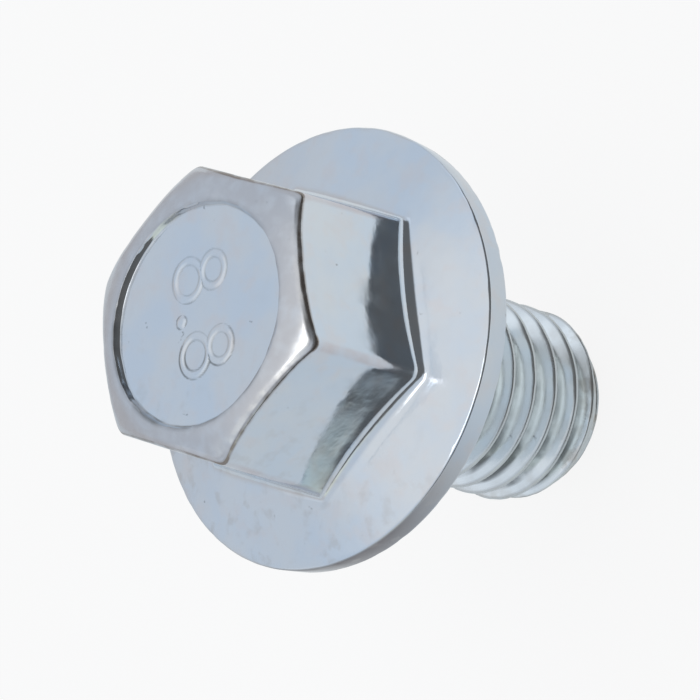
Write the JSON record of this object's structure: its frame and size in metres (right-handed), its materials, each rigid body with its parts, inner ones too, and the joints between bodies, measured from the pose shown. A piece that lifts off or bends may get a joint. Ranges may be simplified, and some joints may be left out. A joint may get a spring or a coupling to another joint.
{
  "type": "hexagon flange bolt",
  "caption": "Short hexagon flange bolt with an indented, domed head, a conical washer flange and a chamfered, fully threaded shank.",
  "frame": {"origin": "centre of the flat end of the tip, on which the bolt stands", "axes": "+Z along the bolt's axis from the tip to the head, -Y through a corner of the hexagon, towards the camera"},
  "size_m": [0.0178, 0.0178, 0.0199],
  "materials": {
    "zinc_plate": "bright zinc plate with a pale blue passivation, over cold-forged steel"
  },
  "bodies": {
    "root": {"flange_bolt": "zinc_plate"}
  },
  "joints": []
}
